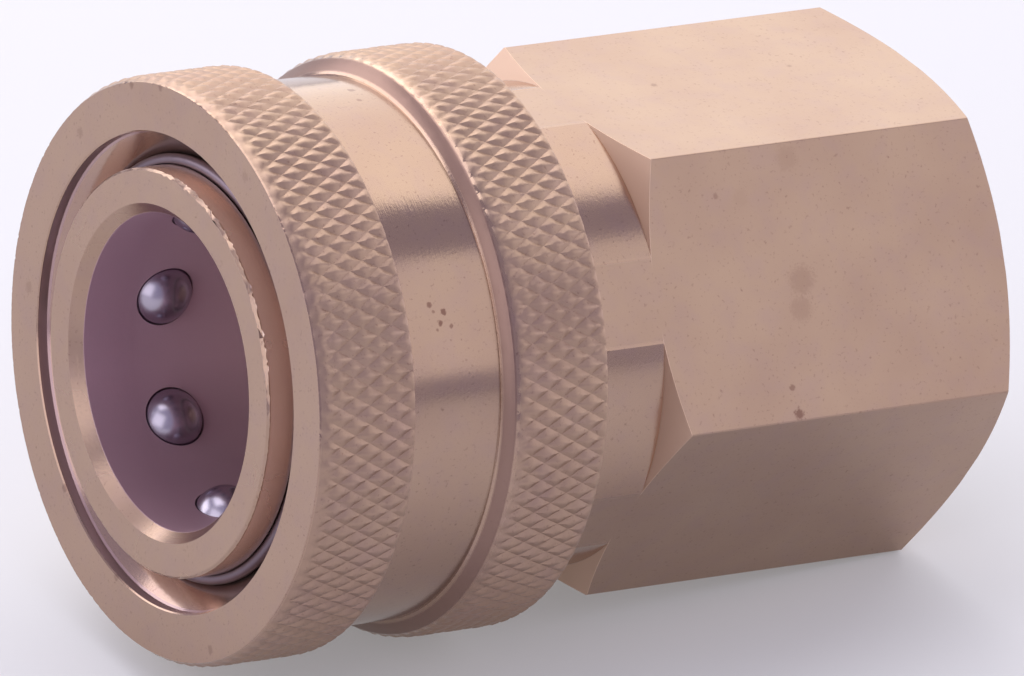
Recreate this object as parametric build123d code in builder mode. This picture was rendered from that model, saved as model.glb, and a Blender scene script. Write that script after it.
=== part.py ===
import os
from math import cos, pi, radians, sin, sqrt, tan

from build123d import *

# Female half of a ball-lock quick coupling for a liquid cooling loop.
# It lies on its side: the coupling's axis runs along X, the open nose points to -X and the hexagon to +X.
# Stations are measured along the axis from the front face of the sleeve, towards the hexagon.
# The origin is the middle of the bounding box, on the plane that the knurled sleeve touches.

# Fits between pieces
running_gap = 0.06
ring_groove_gap = 0.02
stop_gap = 0.05
seal_gap = 0.025
seat_gap = 0.03
thread_gap = 0.05

# Socket body: the nose with the plug's bore, and the threaded tail behind it
bore_radius = 9.5
bore_chamfer_width = 0.62
bore_chamfer_length = 0.72
bore_relief_depth = 0.25
guide_land_length = 3.28
relief_length = 8.5
nose_wall = 2.7
nose_stand_out = 0.4
nose_edge_break = 0.12
probe_depth = 17.9
nose_length = 17.4
tail_radius = 11.8
tail_length = 15.7
tail_chamfer = 0.6
seat_hole_radius = 6.4
seat_land_length = 2.1
seat_cone_width = 1.2
chamber_radius = 8.9
guide_pocket_depth = 2.9
clip_groove_depth = 0.6
clip_groove_width = 1.1

# Locking balls
ball_diameter = 3.969
ball_count = 8
ball_station = 5.8
ball_hole_gap = 0.045
ball_rim_length = 0.6

# Locking sleeve
mouth_radius = 14.32
mouth_depth = 0.7
lip_radius = 12.55
lip_length = 0.1
land_length = 4.0
sleeve_bore_gap = 0.08
sleeve_travel = 1.5
waist_radius = 16.3
waist_length = 6.62
step_length = 0.53
step_rise = 0.85
sleeve_rear_chamfer = 0.35

# Diamond knurl: two rims of pyramids between crossing grooves
knurl_radius = 17.6
knurl_depth = 0.3
knurl_starts = 96
knurl_angle = 30.5
knurl_rows = 6
knurl_edge_drop = 0.16
knurl_bevel_drop = 0.36
front_knurl_bevel = 0.45
rear_knurl_bevel = 0.3
knurl_rear_edge = 0.15
rear_knurl_drop = 0.1

# Wire ring that keeps the sleeve on the nose
keeper_wire = 0.8
keeper_groove_depth = 0.2
keeper_opening = 12.0

# Sleeve spring
sleeve_spring_wire = 1.0
sleeve_spring_radius = 13.35
sleeve_spring_turns = 3.5

# Plug seal in the bore and its back-up ring
plug_seal_section = 1.78
plug_seal_squeeze = 0.28
backup_ring_thickness = 1.2
seal_groove_width = 3.2

# Valve
poppet_pilot_radius = 3.2
poppet_pilot_length = 2.9
poppet_flange_radius = 5.7
poppet_flange_thickness = 1.0
poppet_head_radius = 7.9
poppet_head_thickness = 1.5
poppet_boss_radius = 3.0
poppet_boss_length = 1.0
poppet_stem_radius = 1.75
poppet_edge_break = 0.3
valve_seal_section = 1.5
valve_seal_radius = 5.85
valve_travel = 2.8
valve_spring_wire = 0.9
valve_spring_radius = 4.3
valve_spring_turns = 3.6

# Valve guide and its clip
guide_thickness = 1.2
guide_ledge = 0.4
guide_rim_width = 1.7
guide_hub_radius = 3.2
guide_hub_length = 2.2
guide_spoke_width = 2.2
guide_spokes = 3
clip_thickness = 1.0
clip_width = 1.3
clip_opening = 60.0

# Seal between the socket body and the hexagon piece
body_seal_section = 1.25
body_seal_offset = 1.9

# Hexagon piece
hex_across_flats = 28.6
hex_edge_radius = 0.15
neck_radius = 14.54
neck_length = 8.74
shoulder_length = 1.0
hex_length = 24.56
hex_end_chamfer_radius = 14.35
hex_end_chamfer_length = 1.08
neck_front_chamfer = 0.3
tail_end_gap = 0.3
passage_radius = 8.0
thread_radius = 10.48
thread_length = 15.1
thread_chamfer = 0.8

# Values that follow from the sizes above
nose_radius = bore_radius + nose_wall
ball_radius = ball_diameter / 2
land_radius = nose_radius + running_gap
keeper_radius = nose_radius - keeper_groove_depth + ring_groove_gap + keeper_wire / 2
keeper_station = (
    mouth_depth + mouth_radius - keeper_radius - sqrt(2) * (keeper_wire / 2 + stop_gap)
)
ball_rest = land_radius - ball_radius - seat_gap
ball_lift = bore_radius + ball_radius + seat_gap - ball_rest
ball_slope = ball_lift / sleeve_travel
recess_radius = ball_rest + ball_lift + ball_radius + 2 * running_gap
lip_start = mouth_depth + mouth_radius - lip_radius
lip_end = lip_start + lip_length
ramp_height = ball_rest + (ball_radius + running_gap) * sqrt(1 + ball_slope**2)
ramp_front = ball_station - (recess_radius - ramp_height) / ball_slope
ramp_rear = ball_station + (ramp_height - land_radius) / ball_slope
spring_shoulder = ramp_rear + land_length
neck_front = nose_length - nose_stand_out
shoulder_front = neck_front + neck_length
hex_front = shoulder_front + shoulder_length
hex_rear = hex_front + hex_length - shoulder_length
hex_corner_radius = hex_across_flats / 2 / cos(pi / 6)
sleeve_bore = neck_radius + sleeve_bore_gap
knurl_pitch = 2 * pi * knurl_radius / knurl_starts
knurl_row = knurl_pitch / 2 / tan(radians(knurl_angle))
knurl_length = knurl_rows * knurl_row
front_band_rear = front_knurl_bevel + knurl_length + knurl_rear_edge
waist_rear = front_band_rear + waist_length
rear_band_front = waist_rear + step_length
sleeve_rear = rear_band_front + rear_knurl_bevel + knurl_length + knurl_rear_edge
tail_rear = neck_front + tail_length
axis_height = knurl_radius
front_x = -(hex_rear - nose_stand_out) / 2

coupling_axis = Axis((front_x, 0, axis_height), (1, 0, 0))
section = Plane(origin=(front_x, 0, axis_height), x_dir=(1, 0, 0), z_dir=(0, -1, 0))
level_section = Plane(origin=(front_x, 0, axis_height), x_dir=(1, 0, 0), z_dir=(0, 0, 1))


def across(station):
    """Plane square to the coupling's axis at a station, with local x along Y and local y up."""
    return Plane(
        origin=(front_x + station, 0, axis_height), x_dir=(0, 1, 0), z_dir=(1, 0, 0)
    )


def outward(angle, station=ball_station):
    """Plane on the axis at a station whose normal points out along one radius."""
    turn = radians(angle)
    return Plane(
        origin=(front_x + station, 0, axis_height),
        x_dir=(1, 0, 0),
        z_dir=(0, cos(turn), sin(turn)),
    )


def coil_spring(front, rear, radius, wire, turns):
    """Helix of round wire along the axis, with cut ends, that just fits between two stations."""
    rise = rear - front - wire - 2 * seal_gap
    with BuildPart() as coil:
        with BuildLine():
            path = Helix(
                pitch=rise / turns,
                height=rise,
                radius=radius,
                center=(front_x + front + wire / 2 + seal_gap, 0, axis_height),
                direction=(1, 0, 0),
            )
        with BuildSketch(Plane(origin=path @ 0, z_dir=path % 0)):
            Circle(wire / 2)
        sweep(path=path, is_frenet=True)
    return coil.part


def knurled_rim(front, bevel, radius):
    """Closed solid disc whose rim is raised in pyramids between two crossing sets of grooves.

    Grooves and pyramids meet on rings one row apart. On each ring a groove crossing and a point
    alternate, and the next ring is the same turned by half a pitch. The first and last rings are
    where the bevels begin, so their points are a little lower.
    """
    columns = 2 * knurl_starts
    edge = radius - knurl_bevel_drop
    rear = front + bevel + knurl_length + knurl_rear_edge
    rings = [[(front, edge)] * columns]
    for row in range(knurl_rows + 1):
        on_edge = row in (0, knurl_rows)
        point = radius - (knurl_edge_drop if on_edge else 0)
        groove = radius - knurl_depth
        station = front + bevel + row * knurl_row
        rings.append(
            [(station, point if (column + row) % 2 else groove) for column in range(columns)]
        )
    rings.append([(rear, edge)] * columns)

    def corner(ring, column):
        station, height = rings[ring][column % columns]
        turn = 2 * pi * column / columns
        return (
            front_x + station,
            height * cos(turn),
            axis_height + height * sin(turn),
        )

    faces = []
    for ring in range(len(rings) - 1):
        for column in range(columns):
            near = corner(ring, column)
            near_next = corner(ring, column + 1)
            far = corner(ring + 1, column)
            far_next = corner(ring + 1, column + 1)
            if (column + ring) % 2:
                faces.append(Face(Wire.make_polygon([near, near_next, far_next])))
                faces.append(Face(Wire.make_polygon([near, far_next, far])))
            else:
                faces.append(Face(Wire.make_polygon([near, near_next, far])))
                faces.append(Face(Wire.make_polygon([near_next, far_next, far])))
    for ring in (0, len(rings) - 1):
        faces.append(
            Face(Wire.make_polygon([corner(ring, column) for column in range(columns)]))
        )
    return Solid(Shell(faces))


os.makedirs("parts", exist_ok=True)

# Socket body, turned from bar: the profile is half of its section
land_start = bore_chamfer_length - nose_stand_out
relief_start = land_start + guide_land_length
groove_front = relief_start + relief_length
groove_rear = groove_front + seal_groove_width
plug_groove_radius = (
    bore_radius - plug_seal_squeeze + plug_seal_section + seal_gap
)
web_front = probe_depth - nose_stand_out
cone_front = web_front + seat_land_length
cone_rear = cone_front + seat_cone_width
cone_radius = seat_hole_radius + seat_cone_width
pocket_front = tail_rear - guide_pocket_depth
guide_radius = chamber_radius + guide_ledge
pocket_radius = guide_radius + running_gap
clip_groove_radius = pocket_radius + clip_groove_depth
clip_groove_front = pocket_front + guide_thickness + seal_gap
body_groove_radius = tail_radius + thread_gap - body_seal_section - 2 * seal_gap
body_groove_front = neck_front + body_seal_offset
body_groove_rear = body_groove_front + body_seal_section + 2 * ring_groove_gap
relief_radius = bore_radius + bore_relief_depth
keeper_half_groove = keeper_wire / 2 + stop_gap
keeper_floor = nose_radius - keeper_groove_depth

with BuildPart() as socket_body:
    with BuildSketch(section):
        with BuildLine():
            Polyline(
                (-nose_stand_out, bore_radius + bore_chamfer_width),
                (-nose_stand_out, nose_radius - nose_edge_break),
                (-nose_stand_out + nose_edge_break, nose_radius),
                (keeper_station - keeper_half_groove, nose_radius),
                (keeper_station - keeper_half_groove, keeper_floor),
                (keeper_station + keeper_half_groove, keeper_floor),
                (keeper_station + keeper_half_groove, nose_radius),
                (neck_front, nose_radius),
                (neck_front, tail_radius),
                (body_groove_front, tail_radius),
                (body_groove_front, body_groove_radius),
                (body_groove_rear, body_groove_radius),
                (body_groove_rear, tail_radius),
                (tail_rear - tail_chamfer, tail_radius),
                (tail_rear, tail_radius - tail_chamfer),
                (tail_rear, pocket_radius),
                (clip_groove_front + clip_groove_width, pocket_radius),
                (clip_groove_front + clip_groove_width, clip_groove_radius),
                (clip_groove_front, clip_groove_radius),
                (clip_groove_front, pocket_radius),
                (pocket_front, pocket_radius),
                (pocket_front, chamber_radius),
                (cone_rear, chamber_radius),
                (cone_rear, cone_radius),
                (cone_front, seat_hole_radius),
                (web_front, seat_hole_radius),
                (web_front, bore_radius),
                (groove_rear, bore_radius),
                (groove_rear, plug_groove_radius),
                (groove_front, plug_groove_radius),
                (groove_front, relief_radius),
                (relief_start, relief_radius),
                (relief_start, bore_radius),
                (land_start, bore_radius),
                close=True,
            )
        make_face()
    revolve(axis=coupling_axis)
    # Each ball's hole narrows to a rim at the bore, so that the ball can't fall through
    hole_radius = ball_radius + ball_hole_gap
    rim_radius = sqrt(ball_radius**2 - (ball_rest - bore_radius) ** 2) + ball_hole_gap
    rim_slope = (hole_radius - rim_radius) / ball_rim_length
    rim_start = bore_radius - ball_rim_length
    for ball in range(ball_count):
        with Locations(outward(ball * 360 / ball_count).offset(rim_start).location):
            Cone(
                bottom_radius=rim_radius - rim_slope * ball_rim_length,
                top_radius=hole_radius,
                height=2 * ball_rim_length,
                align=(Align.CENTER, Align.CENTER, Align.MIN),
                mode=Mode.SUBTRACT,
            )
        with BuildSketch(outward(ball * 360 / ball_count).offset(bore_radius + ball_rim_length)):
            Circle(hole_radius)
        extrude(amount=nose_wall, mode=Mode.SUBTRACT)
socket_body.part.label = "socket_body"
export_step(socket_body.part, "parts/socket_body.step")

# Locking balls, each at rest against the sleeve's ramp with a third of it inside the bore
for ball in range(ball_count):
    with BuildPart() as lock_ball:
        with Locations(outward(ball * 360 / ball_count).offset(ball_rest).location):
            Sphere(ball_radius)
    lock_ball.part.label = f"lock_ball_{ball + 1}"
    export_step(lock_ball.part, f"parts/lock_ball_{ball + 1}.step")

# Locking sleeve: knurled rims on a turned core, then the mouth, recess, land and spring bore
with BuildPart() as sleeve:
    add(knurled_rim(0, front_knurl_bevel, knurl_radius))
    add(knurled_rim(rear_band_front, rear_knurl_bevel, knurl_radius - rear_knurl_drop))
    with BuildSketch(section):
        with BuildLine():
            Polyline(
                (front_knurl_bevel, 0),
                (front_knurl_bevel, waist_radius),
                (waist_rear, waist_radius),
                (rear_band_front, waist_radius + step_rise),
                (rear_band_front + rear_knurl_bevel, waist_radius + step_rise),
                (rear_band_front + rear_knurl_bevel, 0),
                close=True,
            )
        make_face()
    revolve(axis=coupling_axis)
    with BuildSketch(section):
        with BuildLine():
            Polyline(
                (-front_knurl_bevel, 0),
                (-front_knurl_bevel, mouth_radius),
                (mouth_depth, mouth_radius),
                (lip_start, lip_radius),
                (lip_end, lip_radius),
                (lip_end, recess_radius),
                (ramp_front, recess_radius),
                (ramp_rear, land_radius),
                (spring_shoulder, land_radius),
                (spring_shoulder, sleeve_bore),
                (sleeve_rear - sleeve_rear_chamfer, sleeve_bore),
                (sleeve_rear + sleeve_rear_chamfer, sleeve_bore + 2 * sleeve_rear_chamfer),
                (sleeve_rear + sleeve_rear_chamfer, 0),
                close=True,
            )
        make_face()
    revolve(axis=coupling_axis, mode=Mode.SUBTRACT)
sleeve.part.label = "sleeve"
export_step(sleeve.part, "parts/sleeve.step")

# Wire ring in the nose's groove: it stops the sleeve and is sprung open at its gap
with BuildPart() as keeper_ring:
    with BuildSketch(level_section):
        with Locations((keeper_station, keeper_radius)):
            Circle(keeper_wire / 2)
    revolve(axis=coupling_axis, revolution_arc=360 - keeper_opening)
keeper_ring.part.label = "keeper_ring"
export_step(keeper_ring.part, "parts/keeper_ring.step")

# Spring that pushes the sleeve forward
sleeve_spring = coil_spring(
    spring_shoulder, neck_front, sleeve_spring_radius, sleeve_spring_wire, sleeve_spring_turns
)
sleeve_spring.label = "sleeve_spring"
export_step(sleeve_spring, "parts/sleeve_spring.step")

# Ring seal that closes on the plug, and the hard ring in front of it
plug_seal_radius = bore_radius - plug_seal_squeeze + plug_seal_section / 2
plug_seal_station = groove_rear - seal_gap - plug_seal_section / 2
with BuildPart() as plug_seal:
    with BuildSketch(section):
        with Locations((plug_seal_station, plug_seal_radius)):
            Circle(plug_seal_section / 2)
    revolve(axis=coupling_axis)
plug_seal.part.label = "plug_seal"
export_step(plug_seal.part, "parts/plug_seal.step")

with BuildPart() as backup_ring:
    with BuildSketch(across(groove_front + seal_gap)):
        Circle(plug_groove_radius - seal_gap)
        Circle(bore_radius + seal_gap, mode=Mode.SUBTRACT)
    extrude(amount=backup_ring_thickness)
backup_ring.part.label = "backup_ring"
export_step(backup_ring.part, "parts/backup_ring.step")

# Poppet: pilot, flange, groove for its seal, head, boss and stem, turned as one piece.
# The seal's middle lies a section's radius off the seat's 45 degree cone.
valve_seal_station = (
    cone_front
    + valve_seal_radius
    - seat_hole_radius
    + sqrt(2) * (valve_seal_section / 2 + seat_gap)
)
poppet_groove_radius = valve_seal_radius - valve_seal_section / 2 - seal_gap
poppet_groove_front = valve_seal_station - valve_seal_section / 2 - seal_gap
head_front = valve_seal_station + valve_seal_section / 2 + seal_gap
head_rear = head_front + poppet_head_thickness
flange_front = poppet_groove_front - poppet_flange_thickness
pilot_front = flange_front - poppet_pilot_length
guide_rear = pocket_front + guide_thickness
guide_hub_front = guide_rear - guide_hub_length
with BuildPart() as valve_poppet:
    with BuildSketch(section):
        with BuildLine():
            Polyline(
                (pilot_front, 0),
                (pilot_front, poppet_pilot_radius - poppet_edge_break),
                (pilot_front + poppet_edge_break, poppet_pilot_radius),
                (flange_front, poppet_pilot_radius),
                (flange_front, poppet_flange_radius - poppet_edge_break),
                (flange_front + poppet_edge_break, poppet_flange_radius),
                (poppet_groove_front, poppet_flange_radius),
                (poppet_groove_front, poppet_groove_radius),
                (head_front, poppet_groove_radius),
                (head_front, poppet_head_radius),
                (head_rear - poppet_edge_break, poppet_head_radius),
                (head_rear, poppet_head_radius - poppet_edge_break),
                (head_rear, poppet_boss_radius),
                (head_rear + poppet_boss_length, poppet_boss_radius),
                (head_rear + poppet_boss_length, poppet_stem_radius),
                (guide_rear, poppet_stem_radius),
                (guide_rear + poppet_edge_break, poppet_stem_radius - poppet_edge_break),
                (guide_rear + poppet_edge_break, 0),
                close=True,
            )
        make_face()
    revolve(axis=coupling_axis)
valve_poppet.part.label = "valve_poppet"
export_step(valve_poppet.part, "parts/valve_poppet.step")

with BuildPart() as valve_seal:
    with BuildSketch(section):
        with Locations((valve_seal_station, valve_seal_radius)):
            Circle(valve_seal_section / 2)
    revolve(axis=coupling_axis)
valve_seal.part.label = "valve_seal"
export_step(valve_seal.part, "parts/valve_seal.step")

# Spring that closes the valve, between the head and the guide's spokes
valve_spring = coil_spring(
    head_rear, pocket_front, valve_spring_radius, valve_spring_wire, valve_spring_turns
)
valve_spring.label = "valve_spring"
export_step(valve_spring, "parts/valve_spring.step")

# Guide: a rim in the tail's pocket, spokes that let the liquid through, and a hub for the stem
with BuildPart() as valve_guide:
    with BuildSketch(across(pocket_front)):
        Circle(guide_radius)
        Circle(guide_radius - guide_rim_width, mode=Mode.SUBTRACT)
        Circle(guide_hub_radius)
        with PolarLocations(0, guide_spokes):
            Rectangle(
                guide_radius - guide_rim_width / 2,
                guide_spoke_width,
                align=(Align.MIN, Align.CENTER),
            )
    extrude(amount=guide_thickness)
    with BuildSketch(across(guide_hub_front)):
        Circle(guide_hub_radius)
    extrude(amount=guide_hub_length)
    with BuildSketch(across(guide_hub_front)):
        Circle(poppet_stem_radius + running_gap)
    extrude(amount=guide_hub_length, mode=Mode.SUBTRACT)
valve_guide.part.label = "valve_guide"
export_step(valve_guide.part, "parts/valve_guide.step")

# Flat wire clip that holds the guide in the tail
with BuildPart() as guide_clip:
    with BuildSketch(section):
        with Locations((guide_rear + seal_gap, clip_groove_radius - ring_groove_gap)):
            Rectangle(clip_thickness, clip_width, align=(Align.MIN, Align.MAX))
    revolve(axis=coupling_axis, revolution_arc=360 - clip_opening)
guide_clip.part.label = "guide_clip"
export_step(guide_clip.part, "parts/guide_clip.step")

# Ring seal in the tail's groove, between the socket body and the hexagon piece
with BuildPart() as body_seal:
    with BuildSketch(section):
        with Locations(
            (
                (body_groove_front + body_groove_rear) / 2,
                body_groove_radius + seal_gap + body_seal_section / 2,
            )
        ):
            Circle(body_seal_section / 2)
    revolve(axis=coupling_axis)
body_seal.part.label = "body_seal"
export_step(body_seal.part, "parts/body_seal.step")

# Hexagon piece: hexagon bar turned down to a neck, so shallow flats run on along the neck
counterbore_end = tail_rear + tail_end_gap
thread_front = hex_rear - thread_length
with BuildPart() as hex_adapter:
    with BuildSketch(across(neck_front)):
        RegularPolygon(hex_across_flats / 2, 6, major_radius=False)
    extrude(amount=hex_rear - neck_front)
    fillet(hex_adapter.edges().filter_by(Axis.X), hex_edge_radius)
    with BuildSketch(section):
        with BuildLine():
            Polyline(
                (neck_front, 0),
                (neck_front, neck_radius - neck_front_chamfer),
                (neck_front + neck_front_chamfer, neck_radius),
                (shoulder_front, neck_radius),
                (hex_front, hex_corner_radius),
                (hex_rear - hex_end_chamfer_length, hex_corner_radius),
                (hex_rear, hex_end_chamfer_radius),
                (hex_rear, 0),
                close=True,
            )
        make_face()
    revolve(axis=coupling_axis, mode=Mode.INTERSECT)
    with BuildSketch(section):
        with BuildLine():
            Polyline(
                (neck_front, 0),
                (neck_front, tail_radius + thread_gap),
                (counterbore_end, tail_radius + thread_gap),
                (counterbore_end, passage_radius),
                (thread_front, passage_radius),
                (thread_front, thread_radius),
                (hex_rear - thread_chamfer, thread_radius),
                (hex_rear, thread_radius + thread_chamfer),
                (hex_rear, 0),
                close=True,
            )
        make_face()
    revolve(axis=coupling_axis, mode=Mode.SUBTRACT)
hex_adapter.part.label = "hex_adapter"
export_step(hex_adapter.part, "parts/hex_adapter.step")
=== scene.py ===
# %% [markdown]
# A ball-lock quick coupling in brass, lying on a pale floor under soft studio light.
# The solids come from the shared frame and keep their shapes. This lesson gives them their
# finishes, and adds what is too fine for the solids: the worn knurl, the screw thread in the
# rear port, the burrs of the turned edges, and the marks of use.

import random
from math import atan, atan2, cos, degrees, hypot, pi, radians, sin, tau

import bpy
from mathutils import Matrix, Vector


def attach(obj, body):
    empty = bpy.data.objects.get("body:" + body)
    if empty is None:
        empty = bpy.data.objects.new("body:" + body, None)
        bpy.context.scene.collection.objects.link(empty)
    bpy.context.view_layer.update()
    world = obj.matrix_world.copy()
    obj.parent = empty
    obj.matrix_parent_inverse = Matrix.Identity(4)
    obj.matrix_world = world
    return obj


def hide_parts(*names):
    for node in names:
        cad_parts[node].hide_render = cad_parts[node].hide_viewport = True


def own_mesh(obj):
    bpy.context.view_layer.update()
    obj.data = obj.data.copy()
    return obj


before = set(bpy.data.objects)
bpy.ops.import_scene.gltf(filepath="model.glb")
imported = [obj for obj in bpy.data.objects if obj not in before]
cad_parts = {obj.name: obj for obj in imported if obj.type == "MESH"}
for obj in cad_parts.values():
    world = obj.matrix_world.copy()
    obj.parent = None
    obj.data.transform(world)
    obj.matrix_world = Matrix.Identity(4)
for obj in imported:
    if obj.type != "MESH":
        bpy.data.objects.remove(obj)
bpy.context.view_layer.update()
print("nodes:", sorted(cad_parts))

# %% [markdown]
# Everything round on this object turns about one line, so places are given as a station along
# that line, measured from the front face of the sleeve, a radius from it, and an angle from the
# top towards the viewer's side. Stations and radii are in millimetres, as on a drawing. Two
# functions turn them to Blender's metres and back.

# %% The coupling's axis
MM = 0.001
FRONT_X = -24.95
AXIS_Z = 17.6


def on_axis(station, radius=0.0, angle=0.0):
    """Point in metres at a station, radius and angle."""
    return Vector((
        (FRONT_X + station) * MM,
        -radius * sin(angle) * MM,
        (AXIS_Z + radius * cos(angle)) * MM,
    ))


def measured(point):
    """Station, radius and angle of a point in metres."""
    y, z = point.y / MM, point.z / MM - AXIS_Z
    return point.x / MM - FRONT_X, hypot(y, z), atan2(-y, z)


print("front of the sleeve:", on_axis(0))

# %% [markdown]
# Colours are written as sRGB hex, as a colour picker shows them, and Blender's nodes want linear
# values. One function turns one into the other. Another adds a node with its settings and its
# links, which keeps each material short enough to read.

# %% Colours and nodes


def linear(code):
    """sRGB hex text to linear RGBA."""
    channels = [int(code[i:i + 2], 16) / 255 for i in (1, 3, 5)]
    light = [c / 12.92 if c <= 0.04045 else ((c + 0.055) / 1.055) ** 2.4 for c in channels]
    return (*light, 1)


def add(tree, kind, settings=None, links=None):
    """Add a node: settings are its properties or its sockets' values, links feed its sockets."""
    node = tree.nodes.new(kind)
    for name, value in (settings or {}).items():
        if isinstance(name, int) or name in node.inputs:
            node.inputs[name].default_value = value
        else:
            setattr(node, name, value)
    for name, source in (links or {}).items():
        tree.links.new(source, node.inputs[name])
    return node


def new_material(name, **values):
    """Material with one Principled shader: its tree and its shader. Base_Color sets Base Color."""
    material = bpy.data.materials.new(name)
    material.use_nodes = True
    shader = material.node_tree.nodes["Principled BSDF"]
    for socket, value in values.items():
        shader.inputs[socket.replace("_", " ")].default_value = value
    return material, material.node_tree, shader


print("a brass colour in linear values:", [round(c, 3) for c in linear("#AF8F80")])

# %% [markdown]
# A finish seldom covers a whole piece. The bore has its film, the neck is smoother than the
# flats, and the mouth is darker than the face. Painting such places by hand would need an image.
# Here a mask says where a finish lies, by a length that can be measured on the object, such as a
# radius or a station, and a second function lays a colour or a value over what is there already.

# %% Masks and layers
SOFT_EDGE = 0.03


def between(tree, length, low, high, edge=SOFT_EDGE, share=1.0, within=None):
    """Mask where a length lies between two values in mm: its soft edge, its share, another mask."""
    rise = add(tree, "ShaderNodeMapRange",
               {"From Min": (low - edge) * MM, "From Max": (low + edge) * MM}, {"Value": length})
    fall = add(tree, "ShaderNodeMapRange",
               {"From Min": (high + edge) * MM, "From Max": (high - edge) * MM, "To Max": share},
               {"Value": length})
    mask = add(tree, "ShaderNodeMath", {"operation": "MULTIPLY"},
               {0: rise.outputs[0], 1: fall.outputs[0]}).outputs[0]
    if within is not None:
        mask = add(tree, "ShaderNodeMath", {"operation": "MULTIPLY"}, {0: mask, 1: within}).outputs[0]
    return mask


def lay_over(tree, socket, mask, value):
    """Mix a value over whatever feeds a shader's socket, as far as the mask says."""
    # A Mix node's colours are its sockets 6 and 7, and its plain numbers are 2 and 3
    colour = isinstance(value, tuple)
    first, second = (6, 7) if colour else (2, 3)
    kind = "RGBA" if colour else "FLOAT"
    mixed = add(tree, "ShaderNodeMix", {"data_type": kind, second: value}, {0: mask})
    if socket.is_linked:
        tree.links.new(socket.links[0].from_socket, mixed.inputs[first])
    else:
        mixed.inputs[first].default_value = socket.default_value
    tree.links.new(mixed.outputs[2 if colour else 0], socket)


print("edge of a mask in mm:", SOFT_EDGE)

# %% [markdown]
# The brass is free-cutting bar, turned bright and left bare, so it has gone a little rosy and
# dull. A metal's colour is all in its reflections: metallic is 1, the base colour is the colour
# of those reflections, and the roughness says how blurred they are. Three noises lie on it, each
# with a real size: broad clouds of tarnish, a mottle of rosy patches, and a grain a fifth of a
# millimetre wide whose peaks are dark specks. The real grain is finer, and is drawn as coarse as
# it needs to be to show. Each layer names the noise, where it starts and is full, and its share.

# %% Colour of the brass
BRASS = "#B19683"
BRASS_DULL = "#AC907F"
BRASS_ROSY = "#A58A88"
SPECK = "#7A5A50"
# Width in mm and detail of the clouds, the mottle and the grain
NOISES = ((7.0, 3.0), (1.6, 4.0), (0.2, 3.0))
# A noise of clouds stays between these two values nearly everywhere
CLOUD_LOW, CLOUD_HIGH = 0.3, 0.7


def brass_colour(tree, shader, place):
    """Colour of the brass with tarnish, rosy mottle and specks: gives the clouds and the grain."""
    cloud, mottle, grain = (
        add(tree, "ShaderNodeTexNoise", {"Scale": 1 / (width * MM), "Detail": detail},
            {"Vector": place}).outputs["Fac"] for width, detail in NOISES)
    layers = (
        (cloud, CLOUD_LOW, CLOUD_HIGH, 1.0, BRASS_DULL),
        (mottle, 0.45, 0.7, 0.25, BRASS_ROSY),
        (grain, 0.62, 0.78, 0.55, SPECK),
    )
    shader.inputs["Base Color"].default_value = linear(BRASS)
    for noise, start, full, share, code in layers:
        mask = add(tree, "ShaderNodeMapRange",
                   {"From Min": start, "From Max": full, "To Max": share}, {"Value": noise})
        lay_over(tree, shader.inputs["Base Color"], mask.outputs[0], linear(code))
    return cloud, grain


print("noises of the brass in mm:", [width for width, _ in NOISES])

# %% [markdown]
# Years of use leave stains and pits in places of their own. Each is a spot round a point, whose
# edge the grain makes ragged, so that it doesn't look like a drawn circle. The distance from the
# point serves better here than a flat projection, because it works on a face at any slant.

# %% Stains
# How far the grain reaches into a stain's edge, and where the stain starts and is full, each in
# radii of the stain. The grain's noise is about 0.5, so the edge lies at about one radius.
STAIN_GRAIN = 2
STAIN_START = 2.3
STAIN_FULL = 1.7


def stain(tree, shader, place, grain, marks):
    """Darken the brass at marks of (station, y, height above the axis, radius, share), in mm."""
    for station, y, height, radius, share in marks:
        middle = ((FRONT_X + station) * MM, y * MM, (AXIS_Z + height) * MM)
        away = add(tree, "ShaderNodeVectorMath", {"operation": "DISTANCE", 1: middle}, {0: place})
        size = radius * MM
        ragged = add(tree, "ShaderNodeMath", {"operation": "MULTIPLY_ADD", 1: size * STAIN_GRAIN},
                     {0: grain, 2: away.outputs["Value"]})
        patch = add(tree, "ShaderNodeMapRange",
                    {"From Min": size * STAIN_START, "From Max": size * STAIN_FULL, "To Max": share},
                    {"Value": ragged.outputs[0]})
        lay_over(tree, shader.inputs["Base Color"], patch.outputs[0], linear(SPECK))


print("stains take the colour of the specks:", SPECK)

# %% [markdown]
# Turning leaves fine rings round the axis, on cylinders and on faces alike. A wave texture would
# give them an even pitch, which no worn lathe tool leaves. So a noise is read at a place that
# changes fast with the station plus the radius, and slowly round the axis. With the grain it
# feeds one Bump node, which tilts the reflections and leaves the mesh alone. The hexagon's
# flats were drawn and not turned, so a stretch of stations says where the rings are.

# %% Lathe marks
# Width of a ring and height of the bump in mm, and how fast the noise changes round the axis
RING_PITCH = 0.1
BUMP_HEIGHT = 0.012
ROUND_THE_AXIS = 40.0


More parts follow.
